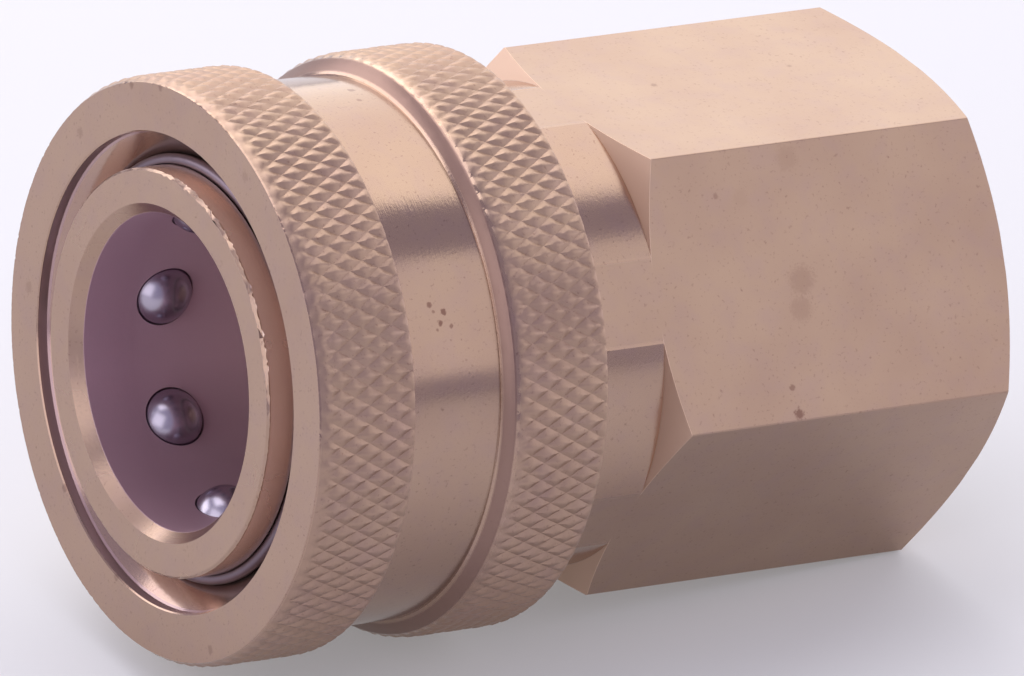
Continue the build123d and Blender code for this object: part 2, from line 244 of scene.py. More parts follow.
def lathe_marks(tree, shader, place, grain, rings, lathe, relief):
    """Bump of rings and grain: gives the sockets that hold the radius and the place along X."""
    centred = add(tree, "ShaderNodeVectorMath", {"operation": "SUBTRACT", 1: (0, 0, AXIS_Z * MM)},
                  {0: place})
    flat = add(tree, "ShaderNodeVectorMath", {"operation": "MULTIPLY", 1: (0, 1, 1)},
               {0: centred.outputs[0]})
    radius = add(tree, "ShaderNodeVectorMath", {"operation": "LENGTH"},
                 {0: flat.outputs[0]}).outputs["Value"]
    x = add(tree, "ShaderNodeSeparateXYZ", links={0: place}).outputs[0]
    along = add(tree, "ShaderNodeMath", {"operation": "ADD"}, {0: x, 1: radius})
    fast = add(tree, "ShaderNodeMath", {"operation": "MULTIPLY", 1: 1 / (RING_PITCH * MM)},
               {0: along.outputs[0]})
    slow = add(tree, "ShaderNodeVectorMath", {"operation": "SCALE", "Scale": ROUND_THE_AXIS},
               {0: flat.outputs[0]})
    tool_path = add(tree, "ShaderNodeCombineXYZ", links={0: fast.outputs[0]})
    tool_path = add(tree, "ShaderNodeVectorMath", {"operation": "ADD"},
                    {0: tool_path.outputs[0], 1: slow.outputs[0]})
    ring = add(tree, "ShaderNodeTexNoise", {"Scale": 1.0, "Detail": 3.0, "Roughness": 0.6},
               {"Vector": tool_path.outputs[0]})
    past = add(tree, "ShaderNodeMath",
               {"operation": "GREATER_THAN", 1: (FRONT_X + lathe[0]) * MM}, {0: x})
    before = add(tree, "ShaderNodeMath",
                 {"operation": "LESS_THAN", 1: (FRONT_X + lathe[1]) * MM}, {0: x})
    turned = add(tree, "ShaderNodeMath", {"operation": "MULTIPLY"},
                 {0: past.outputs[0], 1: before.outputs[0]})
    lines = add(tree, "ShaderNodeMath", {"operation": "MULTIPLY"},
                {0: ring.outputs["Fac"], 1: turned.outputs[0]})
    height = add(tree, "ShaderNodeMath", {"operation": "MULTIPLY_ADD", 1: rings},
                 {0: lines.outputs[0], 2: grain})
    bump = add(tree, "ShaderNodeBump", {"Strength": relief, "Distance": BUMP_HEIGHT * MM},
               {"Height": height.outputs[0]})
    tree.links.new(bump.outputs[0], shader.inputs["Normal"])
    return radius, x


print("rings about", RING_PITCH, "mm apart")

# %% [markdown]
# Each piece came off the lathe with a finish of its own, so one function makes a brass from its
# roughness, its rings, its stains and its relief. The clouds of tarnish shift the roughness a
# little too, because a tarnished place mirrors less sharply. The photograph shows where the
# stains are: on the hexagon, on the sleeve's face, and a group of pits on its waist.

# %% Brass of each piece
# A mark on the face: its radius, its angle from the top in degrees, its size and its share
FACE_MARKS = (
    (15.88, -50, 0.3, 0.3), (17.07, -26, 0.2, 0.5), (17.1, -15, 0.18, 0.5),
    (14.5, -143, 0.22, 0.5), (14.5, -172, 0.2, 0.4), (16.56, 148, 0.25, 0.4),
    (15.4, -95, 0.35, 0.25), (16.2, 20, 0.3, 0.2),
)
# A pit or a stain: its station, y and height above the axis, its size and its share
WAIST_PITS = (
    (8.86, -13.35, 9.35, 0.16, 0.8), (9.05, -13.6, 8.99, 0.1, 0.6),
    (9.72, -13.64, 8.92, 0.18, 0.9), (9.39, -13.97, 8.4, 0.15, 0.9),
    (10.11, -14.1, 8.17, 0.12, 0.7), (9.12, -14.16, 8.07, 0.1, 0.6),
    (11.62, 1.66, 16.22, 0.2, 0.6), (11.22, 0.11, 16.3, 0.18, 0.5),
)
HEX_STAINS = (
    (35.92, -12.38, 7.15, 0.8, 0.24), (35.61, -13.23, 5.68, 0.7, 0.2),
    (36.15, -8.74, 13.46, 0.7, 0.14), (32.54, -9.74, 11.74, 0.5, 0.07),
    (34.38, -16.3, 0.36, 0.3, 0.8), (34.17, -15.51, 1.73, 0.18, 0.6),
    (32.83, 1.01, 14.3, 0.2, 0.5), (42.57, 1.21, 14.3, 0.16, 0.4),
    (30.82, -9.58, 12.01, 0.16, 0.4),
)
# Stations between which there are lathe marks
ALL_ALONG = (0, 60)
NECK_STRETCH = (17, 26)
# How much smoother and rougher than its mean the tarnish makes a brass
SMOOTHER, ROUGHER = 0.03, 0.04


def brass(name, roughness, rings=0.5, marks=(), lathe=ALL_ALONG, relief=0.42):
    """Brass: its material, tree and shader, and the sockets for the radius and the place along X."""
    material, tree, shader = new_material(name, Metallic=1.0)
    place = add(tree, "ShaderNodeTexCoord").outputs["Object"]
    cloud, grain = brass_colour(tree, shader, place)
    stain(tree, shader, place, grain, marks)
    radius, x = lathe_marks(tree, shader, place, grain, rings, lathe, relief)
    rough = add(tree, "ShaderNodeMapRange",
                {"From Min": CLOUD_LOW, "From Max": CLOUD_HIGH,
                 "To Min": roughness - SMOOTHER, "To Max": roughness + ROUGHER}, {"Value": cloud})
    tree.links.new(rough.outputs[0], shader.inputs["Roughness"])
    return material, tree, shader, radius, x


face_marks = tuple(
    (0, -radius * sin(radians(angle)), radius * cos(radians(angle)), size, share)
    for radius, angle, size, share in FACE_MARKS)
sleeve_brass, sleeve_tree, sleeve_shader, sleeve_radius, sleeve_x = brass(
    "turned_knurled_brass", roughness=0.15, rings=1.2, marks=WAIST_PITS + face_marks, relief=0.24)
nose_brass, nose_tree, nose_shader, nose_radius, nose_x = brass(
    "turned_brass_nose", roughness=0.27, rings=0.6)
hexagon_brass, hexagon_tree, hexagon_shader, hexagon_radius, hexagon_x = brass(
    "drawn_hexagon_brass", roughness=0.33, marks=HEX_STAINS, lathe=NECK_STRETCH, relief=0.3)
inner_brass = brass("turned_brass_inside", roughness=0.3)[0]
print("brass finishes:", [m.name for m in bpy.data.materials])

# %% [markdown]
# Deep in the bore the brass has never been wiped. A film the colour of plums lies on it, part oxide
# and part painted shade, for the plum tint of the bore's shade. It scatters light more than it
# mirrors it, so its metallic value is low. The film is masked by the radius and the station, so it
# covers the bore's wall and leaves the nose's face and its chamfer bright. Further in it is paler,
# which is painted light, and low down it is darker, which is painted shade.

# %% Film and painted light and shade in the bore
BORE_EDGE = 9.95
CHAMFER_END = 0.3
PALE_START = 8
PALE_END = -FRONT_X
# Below this height the bore is painted darker: painted shade
SHADE_LINE_HEIGHT = AXIS_Z - 6.5
# Plum colour of the bore's film: part oxide, part painted shade
FILM_AND_SHADE_TINT = "#B996A2"
FILM_METALLIC = 0.25
FILM_ROUGHNESS = 0.5
# Paler colour further in the bore: painted light
DEEP_PAINTED_LIGHT = "#E2C2C5"
PALE_EDGE = 5.0
# Darker colour low in the bore: painted shade
LOW_PAINTED_SHADE = "#7E626C"
SHADE_LINE_EDGE = 2.5
LOW_SHADE_SHARE = 0.6
in_bore = between(nose_tree, nose_radius, 0, BORE_EDGE)
film = between(nose_tree, nose_x, FRONT_X + CHAMFER_END, 0, within=in_bore)
lay_over(nose_tree, nose_shader.inputs["Base Color"], film, linear(FILM_AND_SHADE_TINT))
lay_over(nose_tree, nose_shader.inputs["Metallic"], film, FILM_METALLIC)
lay_over(nose_tree, nose_shader.inputs["Roughness"], film, FILM_ROUGHNESS)
deep_painted_light = between(nose_tree, nose_x, FRONT_X + PALE_START, FRONT_X + PALE_END, PALE_EDGE,
               within=film)
lay_over(nose_tree, nose_shader.inputs["Base Color"], deep_painted_light, linear(DEEP_PAINTED_LIGHT))
nose_place = add(nose_tree, "ShaderNodeTexCoord").outputs["Object"]
nose_height = add(nose_tree, "ShaderNodeSeparateXYZ", links={0: nose_place}).outputs[2]
low_painted_shade = between(nose_tree, nose_height, 0, SHADE_LINE_HEIGHT, SHADE_LINE_EDGE, LOW_SHADE_SHARE, within=film)
lay_over(nose_tree, nose_shader.inputs["Base Color"], low_painted_shade, linear(LOW_PAINTED_SHADE))
print("film inside radius", BORE_EDGE)

# %% [markdown]
# The outside of the nose lies in the sleeve's mouth, where fingers don't reach and the sleeve
# doesn't rub. Its paler, warm colour, a little less metallic than bare brass, is painted light:
# it stands in for the warm reflection of the mouth's wall. It is one more mask: a narrow range of
# radius, over the first stations.

# %% Painted light on the side of the nose
NOSE_SIDE = (12.14, 12.3)
SIDE_STRETCH = (-0.2, 6)
# Paler, warm colour on the nose's side: painted light, for a reflection
SIDE_PAINTED_LIGHT = "#D6BCAE"
SIDE_METALLIC = 0.8
along_side = between(nose_tree, nose_x, FRONT_X + SIDE_STRETCH[0], FRONT_X + SIDE_STRETCH[1])
side = between(nose_tree, nose_radius, *NOSE_SIDE, within=along_side)
lay_over(nose_tree, nose_shader.inputs["Base Color"], side, linear(SIDE_PAINTED_LIGHT))
lay_over(nose_tree, nose_shader.inputs["Metallic"], side, SIDE_METALLIC)
print("side of the nose from station", SIDE_STRETCH[0], "to", SIDE_STRETCH[1])

# %% [markdown]
# The hexagon piece is drawn bar, and keeps the drawn skin on its flats. Its neck is turned, so
# it is smoother, and the shoulder between them was cut by the side of a form tool, which
# chatters and leaves it rougher. The shoulder is a cone, so its mask reads the radius less the
# station times the cone's rise, which has one value all over the cone.

# %% Neck and shoulder of the hexagon piece
NECK_RADIUS = 14.54
NECK_SKIN = (-0.03, 0.1)
NECK_ROUGHNESS = 0.18
SHOULDER_START = 25.74
SHOULDER_RISE = 1.974
SHOULDER_SKIN = (-0.08, 0.5)
SHOULDER_ROUGHNESS = 0.6
SHOULDER_BRASS = "#DABDA8"
REAR_X = 20
shoulder_x = FRONT_X + SHOULDER_START
before_shoulder = between(hexagon_tree, hexagon_x, FRONT_X, shoulder_x)
neck = between(hexagon_tree, hexagon_radius, NECK_RADIUS + NECK_SKIN[0],
               NECK_RADIUS + NECK_SKIN[1], edge=0.01, within=before_shoulder)
above_cone = add(hexagon_tree, "ShaderNodeMath", {"operation": "MULTIPLY_ADD", 1: -SHOULDER_RISE},
                 {0: hexagon_x, 2: hexagon_radius}).outputs[0]
cone_foot = NECK_RADIUS - SHOULDER_RISE * shoulder_x
past_neck = between(hexagon_tree, hexagon_x, shoulder_x, REAR_X)
shoulder = between(hexagon_tree, above_cone, cone_foot + SHOULDER_SKIN[0],
                   cone_foot + SHOULDER_SKIN[1], within=past_neck)
lay_over(hexagon_tree, hexagon_shader.inputs["Roughness"], neck, NECK_ROUGHNESS)
lay_over(hexagon_tree, hexagon_shader.inputs["Roughness"], shoulder, SHOULDER_ROUGHNESS)
lay_over(hexagon_tree, hexagon_shader.inputs["Base Color"], shoulder, linear(SHOULDER_BRASS))
print("cone's foot at x = 0, in mm:", round(cone_foot, 2))

# %% [markdown]
# A solid's own mesh is never changed. Where a surface needs wear, a copy of the solid takes its
# place and rides on the same body. The copy is merged first, because a solid's mesh is loose
# triangles, and the shading stored with it is cleared. A second function selects by place what
# the next operator acts on, as box select does by hand.

# %% A copy of a solid to work on
# Points this near are merged, and this near a station or a radius they count as being on it
MERGE = 0.001
STATION_SLACK = 0.01
RADIUS_SLACK = 0.03


def copy_of(node, name, body):
    """Merged copy of a CAD node that replaces it, active and in edit mode with nothing chosen."""
    bpy.ops.object.select_all(action="DESELECT")
    source = bpy.data.objects[node]
    piece = source.copy()
    piece.data = source.data.copy()
    piece.name = name
    piece.data.name = name
    bpy.context.collection.objects.link(piece)
    bpy.context.view_layer.objects.active = piece
    piece.select_set(True)
    bpy.ops.object.mode_set(mode="EDIT")
    bpy.ops.mesh.select_all(action="SELECT")
    bpy.ops.mesh.remove_doubles(threshold=MERGE * MM)
    bpy.ops.mesh.customdata_custom_splitnormals_clear()
    bpy.ops.mesh.select_all(action="DESELECT")
    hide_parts(node)
    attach(piece, body)
    return piece


def choose(piece, kind, wanted):
    """Select the points, edges or faces whose points all pass a test of station, radius, angle."""
    bpy.ops.object.mode_set(mode="OBJECT")
    mesh = piece.data
    points = [wanted(*measured(v.co)) for v in mesh.vertices]
    for group in (mesh.vertices, mesh.edges, mesh.polygons):
        group.foreach_set("select", [False] * len(group))
    if kind == "VERT":
        mesh.vertices.foreach_set("select", points)
    else:
        parts = mesh.edges if kind == "EDGE" else mesh.polygons
        parts.foreach_set("select", [all(points[i] for i in part.vertices) for part in parts])
    bpy.ops.object.mode_set(mode="EDIT")
    bpy.ops.mesh.select_mode(type=kind)


def finish(node, material):
    """Give a CAD node or a piece its material."""
    obj = bpy.data.objects[node]
    obj.data.materials.clear()
    obj.data.materials.append(material)


print("copies can be made of", len(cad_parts), "nodes")

# %% [markdown]
# The solids' knurl is a net of sharp pyramids, which is how it is cut. The real one has been
# handled, so its crests are worn to small diamonds. Smoothing the pyramids would lose them, so
# the worn shape is a formula: the surface is the rim's own radius, less a groove that is deepest
# along each of the two crossing sets of lines. Towards the front the grooves fade out and the
# rim rounds off, and at the rear a small chamfer ends it.

# %% Shape of the worn knurl
# Radius that all of the knurl is above, and how many grooves of one set go round
KNURL_FLOOR = 17.1
KNURL_STARTS = 96
# Distance between two rows of the solids' points: a crossing comes back every second row
KNURL_ROW = 0.9778
# Half a groove's width, as a share of half the space between two grooves, and its depth
GROOVE_HALF_WIDTH = 0.75
GROOVE_DEPTH = 0.165
# Length and depth of the rounding at a rim's front and of the chamfer at its rear
FRONT_EDGE = (0.9, 0.34)
REAR_EDGE = (0.3, 0.11)
# Each rim: its front and rear ends, where its first row of points is, and its radius
BANDS = ((0.0, 6.4667, 0.45, 17.59), (13.6167, 19.9333, 13.9167, 17.49))


def worn_radius(station, angle):
    """Radius of the worn knurl at a station and angle."""
    front, rear, first_row, top = next(
        b for b in BANDS if b[0] - STATION_SLACK <= station <= b[1] + STATION_SLACK)
    turns = angle * KNURL_STARTS / tau
    rows = (station - first_row) / (2 * KNURL_ROW)
    from_groove = min(abs((turns + way * rows + 0.5) % 1 - 0.5) * 2 for way in (1, -1))
    cut = GROOVE_DEPTH * (1 - min(1, from_groove / GROOVE_HALF_WIDTH))
    near_front = max(0, 1 - (station - front) / FRONT_EDGE[0])
    near_rear = max(0, 1 - (rear - station) / REAR_EDGE[0])
    front_cut = FRONT_EDGE[1] * near_front ** 2 + cut * (1 - near_front)
    return top - max(front_cut, REAR_EDGE[1] * near_rear)


print("grooves in mm:", round(tau * BANDS[0][3] / KNURL_STARTS, 2), "apart and", GROOVE_DEPTH, "deep")

# %% [markdown]
# On a copy of the sleeve only the faces of the two rims are subdivided, so that the mesh is fine
# where it has to be and nowhere else. Each of their points is then set to the worn radius, and
# those within the rows are moved by a hair at random, as wear is never even.

# %% Worn knurl
RIM_CUTS = 3
HAND_WEAR = 0.015
CLEAR_OF_REAR = 0.2
sleeve = copy_of("sleeve", "worn_knurled_sleeve", "sleeve_body")
choose(sleeve, "FACE", lambda s, r, a: r > KNURL_FLOOR)
bpy.ops.mesh.subdivide(number_cuts=RIM_CUTS)
bpy.ops.object.mode_set(mode="OBJECT")
knurl_points = [v for v in sleeve.data.vertices if measured(v.co)[1] > KNURL_FLOOR]
for vertex in knurl_points:
    station, _, angle = measured(vertex.co)
    vertex.co = on_axis(station, worn_radius(station, angle), angle)
choose(sleeve, "VERT", lambda s, r, a: (
    r > KNURL_FLOOR and any(b[2] < s < b[1] - CLEAR_OF_REAR for b in BANDS)))
bpy.ops.transform.vertex_random(offset=HAND_WEAR * MM, seed=3)
print("points of the knurl:", len(knurl_points))

# %% [markdown]
# The edges of the sleeve's face are broken too. The one at the mouth gets a small bevel, which
# catches the light as a fine bright line. The outer one is knocked in use: each of its points is
# drawn inwards by a random hair, and now and then by three times as much.

# %% Edges of the sleeve's face
MOUTH_RADIUS = 14.32
MOUTH_BREAK = 0.08
FACE_EDGE = 17.25
# Most that a knock moves a point, how much deeper a deep one is, and the share of deep ones
KNOCK = 0.025
DEEP_KNOCK = 3.0
DEEP_KNOCKS = 0.08
choose(sleeve, "EDGE", lambda s, r, a: (
    abs(s) < STATION_SLACK and abs(r - MOUTH_RADIUS) < RADIUS_SLACK))
bpy.ops.mesh.bevel(offset=MOUTH_BREAK * MM, segments=1, affect="EDGES")
bpy.ops.object.mode_set(mode="OBJECT")
random.seed(5)
for vertex in sleeve.data.vertices:
    station, radius, angle = measured(vertex.co)
    if abs(station) < STATION_SLACK and abs(radius - FACE_EDGE) < RADIUS_SLACK:
        chip = DEEP_KNOCK if random.random() < DEEP_KNOCKS else 1.0
        vertex.co = on_axis(station, radius - chip * random.uniform(0, KNOCK), angle)
bpy.ops.object.shade_smooth_by_angle(angle=radians(38))
finish(sleeve.name, sleeve_brass)
print("sleeve triangles:", sum(len(p.vertices) - 2 for p in sleeve.data.polygons))

# %% [markdown]
# The knurl's crests are scuffed, so they mirror less than the waist does. The mouth's wall takes
# a plum tint like the bore's film, its outer part most of all, and the corner where the waist
# meets the rear rim is painted darker brown: both are painted shade. The masks take the same
# lengths as before, so no edge of a colour strays from the edge of a shape.

# %% Duller places and painted shade of the sleeve
KNURL_ROUGHNESS = 0.45
KNURL_TOP = 20
# Plum tint of the mouth's wall: painted shade
MOUTH_PAINTED_SHADE = "#B89A9A"
MOUTH_METALLIC = 0.5
# Inner and outer radius of each part of the mouth's wall, and how far the painted shade covers it
MOUTH_WALLS = ((12, 14.2, 0.2), (14.2, 14.35, 0.9))
# Darker brown in the corner where the waist meets the rear rim: painted shade
CORNER_PAINTED_SHADE = "#8C7067"
SHADED_CORNER_STRETCH = (13.2, 13.7)
SHADED_CORNER_RADII = (16.35, 17.25)
CORNER_SHADE_SHARE = 0.8
SHADED_CORNER_ROUGHNESS = 0.4
on_knurl = between(sleeve_tree, sleeve_radius, KNURL_FLOOR + 0.2, KNURL_TOP, edge=0.04)
lay_over(sleeve_tree, sleeve_shader.inputs["Roughness"], on_knurl, KNURL_ROUGHNESS)
past_face = between(sleeve_tree, sleeve_x, FRONT_X + 0.1, 0)
for low, high, share in MOUTH_WALLS:
    wall = between(sleeve_tree, sleeve_radius, low, high, edge=0.01, share=share, within=past_face)
    lay_over(sleeve_tree, sleeve_shader.inputs["Base Color"], wall, linear(MOUTH_PAINTED_SHADE))
    lay_over(sleeve_tree, sleeve_shader.inputs["Metallic"], wall, MOUTH_METALLIC)
under_rim = between(sleeve_tree, sleeve_radius, *SHADED_CORNER_RADII)
corner_painted_shade = between(sleeve_tree, sleeve_x, FRONT_X + SHADED_CORNER_STRETCH[0], FRONT_X + SHADED_CORNER_STRETCH[1],
               share=CORNER_SHADE_SHARE, within=under_rim)
lay_over(sleeve_tree, sleeve_shader.inputs["Base Color"], corner_painted_shade, linear(CORNER_PAINTED_SHADE))
lay_over(sleeve_tree, sleeve_shader.inputs["Metallic"], corner_painted_shade, 1.0)
lay_over(sleeve_tree, sleeve_shader.inputs["Roughness"], corner_painted_shade, SHADED_CORNER_ROUGHNESS)
print("knurl roughness:", KNURL_ROUGHNESS)

# %% [markdown]
# A turned edge is never clean. The tool leaves a burr, and knocks leave nicks that catch the
# light. The nose's rim has a small chamfer in the solids. Its two rings of points are moved in
# and out at random, most of all where the photograph shows torn flakes, on the upper right.

# %% Burrs of the nose's rim
RIM_RADIUS = 12.2
RIM_STATION = -0.4
RIM_BREAK = 0.12
RING_CUTS = 3
# Angles between which the rim is torn, and how much calmer it is elsewhere
TORN_FROM, TORN_TO = radians(-12), radians(65)
CALM = 0.3
# How much larger a flake is than a burr, and the share of flakes
FLAKE = 1.7
FLAKES = 0.12
# Least and most that a point moves, on the face and on the side
FACE_BURR = (-0.03, 0.13)
SIDE_BURR = (-0.03, 0.12)
nose = copy_of("socket_body", "burred_nose", "valve_body")


def on_rim_face(station, radius):
    """Is a point on the chamfer's edge with the face?"""
    from_edge = abs(radius - RIM_RADIUS + RIM_BREAK)
    return abs(station - RIM_STATION) < STATION_SLACK and from_edge < RADIUS_SLACK


def on_rim_side(station, radius):
    """Is a point on the chamfer's edge with the nose's side?"""
    from_edge = abs(station - RIM_STATION - RIM_BREAK)
    return from_edge < STATION_SLACK and abs(radius - RIM_RADIUS) < RADIUS_SLACK


for ring in (on_rim_face, on_rim_side):
    choose(nose, "EDGE", lambda s, r, a: ring(s, r))
    bpy.ops.mesh.subdivide(number_cuts=RING_CUTS)
bpy.ops.object.mode_set(mode="OBJECT")
random.seed(11)
moved = 0
for vertex in nose.data.vertices:
    station, radius, angle = measured(vertex.co)
    torn = 1.0 if TORN_FROM < angle < TORN_TO else CALM
    chip = torn * (FLAKE if random.random() < FLAKES else 1.0)
    if on_rim_face(station, radius):
        vertex.co = on_axis(station, radius - chip * random.uniform(*FACE_BURR), angle)
        moved += 1
    elif on_rim_side(station, radius):
        vertex.co = on_axis(station + chip * random.uniform(*SIDE_BURR), RIM_RADIUS, angle)
        moved += 1
bpy.ops.object.shade_smooth_by_angle(angle=radians(28))
finish(nose.name, nose_brass)
print("rim points moved:", moved)

# %% [markdown]
# Behind the balls the solids' bore has a shallow relief, which a plug needs for its clearance.
# The photograph shows no step there. So on the copy the relief's wall is drawn in to the bore's
# own radius, by scaling its points across the axis and leaving their stations alone.

# %% Bore without the relief's step
RELIEF_RADIUS = 9.75
RELIEF_STRETCH = (3.0, 12.3)
EVEN_RADIUS = 9.52
choose(nose, "VERT", lambda s, r, a: (
    abs(r - RELIEF_RADIUS) < RADIUS_SLACK and RELIEF_STRETCH[0] < s < RELIEF_STRETCH[1]))
shrink = EVEN_RADIUS / RELIEF_RADIUS
bpy.ops.transform.resize(value=(1, shrink, shrink), center_override=on_axis(0))
bpy.ops.object.mode_set(mode="OBJECT")
print("bore evened from radius", RELIEF_RADIUS, "to", EVEN_RADIUS)

# %% [markdown]
# The other brass pieces keep their solids' meshes and only take a material. The valve's poppet
# and guide are turned from the same bar, and stay clean inside.

# %% The rest of the brass
finish("hex_adapter", hexagon_brass)
finish("valve_poppet", inner_brass)
finish("valve_guide", inner_brass)
print("solids in plain brass: hex_adapter, valve_poppet, valve_guide")

# %% [markdown]
# The port behind takes a parallel pipe thread of half-inch size. Its crest line is one long
# helix, so one section of the thread is drawn and turned: a plane becomes the trapezoid between
# two flanks at 55 degrees, and the Screw modifier carries its outline round the axis and along it.

# %% Thread in the rear port
PITCH = 1.814
ROOT_RADIUS = 10.55
CREST_RADIUS = 9.32
CREST_HALF = 0.15
FLANK_SLOPE = 0.52
THREAD_START = 36.6
THREAD_TURNS = 7
THREAD_STEPS = 96
root_half = CREST_HALF + (ROOT_RADIUS - CREST_RADIUS) * FLANK_SLOPE
section = (
    (-root_half, ROOT_RADIUS), (root_half, ROOT_RADIUS),
    (-CREST_HALF, CREST_RADIUS), (CREST_HALF, CREST_RADIUS),
)
bpy.ops.object.select_all(action="DESELECT")
bpy.ops.mesh.primitive_plane_add(size=1.0, location=on_axis(0))
thread = bpy.context.object
thread.name = "pipe_thread_ridge"
for vertex, (step, radius) in zip(thread.data.vertices, section):
    vertex.co = ((THREAD_START + step) * MM, 0, radius * MM)
screw = thread.modifiers.new("turns", "SCREW")
screw.axis = "X"
screw.angle = tau
screw.screw_offset = PITCH * MM
screw.iterations = THREAD_TURNS
screw.steps = screw.render_steps = THREAD_STEPS
bpy.ops.object.modifier_apply(modifier=screw.name)
bpy.ops.object.mode_set(mode="EDIT")
bpy.ops.mesh.select_all(action="SELECT")
bpy.ops.mesh.remove_doubles(threshold=MERGE * MM)
bpy.ops.mesh.select_all(action="DESELECT")
bpy.ops.mesh.select_mode(type="VERT")
bpy.ops.mesh.select_non_manifold()
bpy.ops.mesh.fill_holes(sides=4)
bpy.ops.mesh.select_all(action="SELECT")
bpy.ops.mesh.normals_make_consistent(inside=False)
bpy.ops.object.mode_set(mode="OBJECT")
bpy.ops.object.transform_apply(location=True, rotation=True, scale=True)
print("thread length in mm:", round(thread.dimensions.x / MM, 2))

# %% [markdown]
# The port's mouth is countersunk, so that a pipe finds its way in, and the countersink cuts the
# first ridges back to a slant. A tapered cone is taken away from the ridges with a Boolean
# modifier, which is how the real tool does it, and the cone is deleted.

# %% Countersink of the thread
REAR = 50.3
PORT_RADIUS = 11.28
CUT_LENGTH = 5.0
CONE_SIDES = 192
bpy.ops.mesh.primitive_cone_add(
    vertices=CONE_SIDES,
    radius1=(PORT_RADIUS - CUT_LENGTH / 2) * MM,
    radius2=(PORT_RADIUS + CUT_LENGTH / 2) * MM,
    depth=CUT_LENGTH * MM,
    location=on_axis(REAR),
    rotation=(0, pi / 2, 0),
)
countersink = bpy.context.object
cut = thread.modifiers.new("countersink", "BOOLEAN")
cut.operation = "DIFFERENCE"
cut.object = countersink
cut.solver = "EXACT"
bpy.context.view_layer.objects.active = thread
bpy.ops.object.modifier_apply(modifier=cut.name)
bpy.data.objects.remove(countersink)
bpy.ops.object.select_all(action="DESELECT")
thread.select_set(True)
bpy.ops.object.shade_smooth_by_angle(angle=radians(30))
thread.data.materials.append(inner_brass)
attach(thread, "valve_body")
print("thread triangles:", sum(len(p.vertices) - 2 for p in thread.data.polygons))

# %% [markdown]
# The balls are hardened bearing balls. Years of sliding have dulled them, so their highlights
# are soft. The wire of the springs and of the two rings is drawn stainless steel. The ring in the
# mouth is painted darker, as painted shade for the gap it lies in. Steel is greyer than brass and
# a little blue, and its values are the same all over, so they are set straight on the shader.

# %% Steel
BALLS = 8
ball_steel, _, _ = new_material(
    "worn_ball_steel", Metallic=1.0, Roughness=0.27, Base_Color=linear("#B0A8B6"))
# The ring in the mouth is painted darker: painted shade
shaded_ring_steel, _, _ = new_material(
    "ring_wire_painted_shade", Metallic=1.0, Roughness=0.42, Base_Color=linear("#7D6F78"))
wire_steel, _, _ = new_material(
    "drawn_stainless_wire", Metallic=1.0, Roughness=0.32, Base_Color=linear("#A9A3B0"))
for number in range(1, BALLS + 1):
    finish(f"lock_ball_{number}", ball_steel)
finish("keeper_ring", shaded_ring_steel)
finish("guide_clip", wire_steel)
print("steel pieces finished:", BALLS + 2)

# %% [markdown]
# A coil spring shortens as its joint moves, and a stiff piece can't show that: it would cut
# through the sleeve or the poppet. A copy of each spring stands for its solid, in drawn
# stainless wire.

# %% Copies of the springs
# Each spring: its node, its joint, the place along X of its fixed end and the joint's travel
SPRINGS = (
    ("sleeve_spring", "sleeve_slide", -7.95, 1.5),
    ("valve_spring", "valve_lift", 4.85, 2.8),
)
for node, joint, fixed_end, travel in SPRINGS:
    spring = copy_of(node, "coiled_" + node, "valve_body")
    bpy.ops.object.mode_set(mode="OBJECT")
    bpy.ops.object.shade_smooth_by_angle(angle=radians(40))
    finish(spring.name, wire_steel)
    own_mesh(spring)

# %% [markdown]
# The seals are black nitrile rubber, moulded, so they are smooth and half matt. The back-up ring
# is white PTFE, cut from tube, and looks waxy. Neither is a metal, so their colour is what they
# scatter, and one even value is enough for pieces that hardly show.

# %% Seals
rubber, _, _ = new_material(
    "moulded_nitrile_rubber", Roughness=0.55, Base_Color=linear("#1C1B1E"))
ptfe, _, _ = new_material("cut_ptfe", Roughness=0.5, Base_Color=linear("#E6E2DA"))
for node in ("plug_seal", "valve_seal", "body_seal"):
    finish(node, rubber)
finish("backup_ring", ptfe)
print("seals finished")

# %% [markdown]
# Left to itself the coupling tips back until the hexagon's end touches, because more of its
# weight is behind the sleeve than under it. The solids keep their axis level, so here the floor
# slopes instead: it passes under the sleeve's rear rim and under the hexagon's rear edge.

# %% Floor
REAR_RIM = (19.8, 17.5)
HEX_END = (50.3, 14.3)
FLOOR_GAP = 0.02
FLOOR_SIZE = 6.0
rim, end = on_axis(*REAR_RIM, pi), on_axis(*HEX_END, pi)
slope = atan((end.z - rim.z) / (end.x - rim.x))
bpy.ops.object.select_all(action="DESELECT")
bpy.ops.mesh.primitive_plane_add(
    size=FLOOR_SIZE, location=rim - Vector((0, 0, FLOOR_GAP * MM)), rotation=(0, -slope, 0))
floor = bpy.context.object
floor.name = "studio_floor"
print("floor slope in degrees:", round(degrees(slope), 2))

# %% [markdown]
# The photograph's background is almost white. More light would bleach the brass too, so the
# floor is a pale matt paint with a little glow of its own. The glow is there only for what is
# seen directly, in a mirror or through glass. It adds nothing to the light that falls on matt
# surfaces, and the floor keeps the object's shadow.

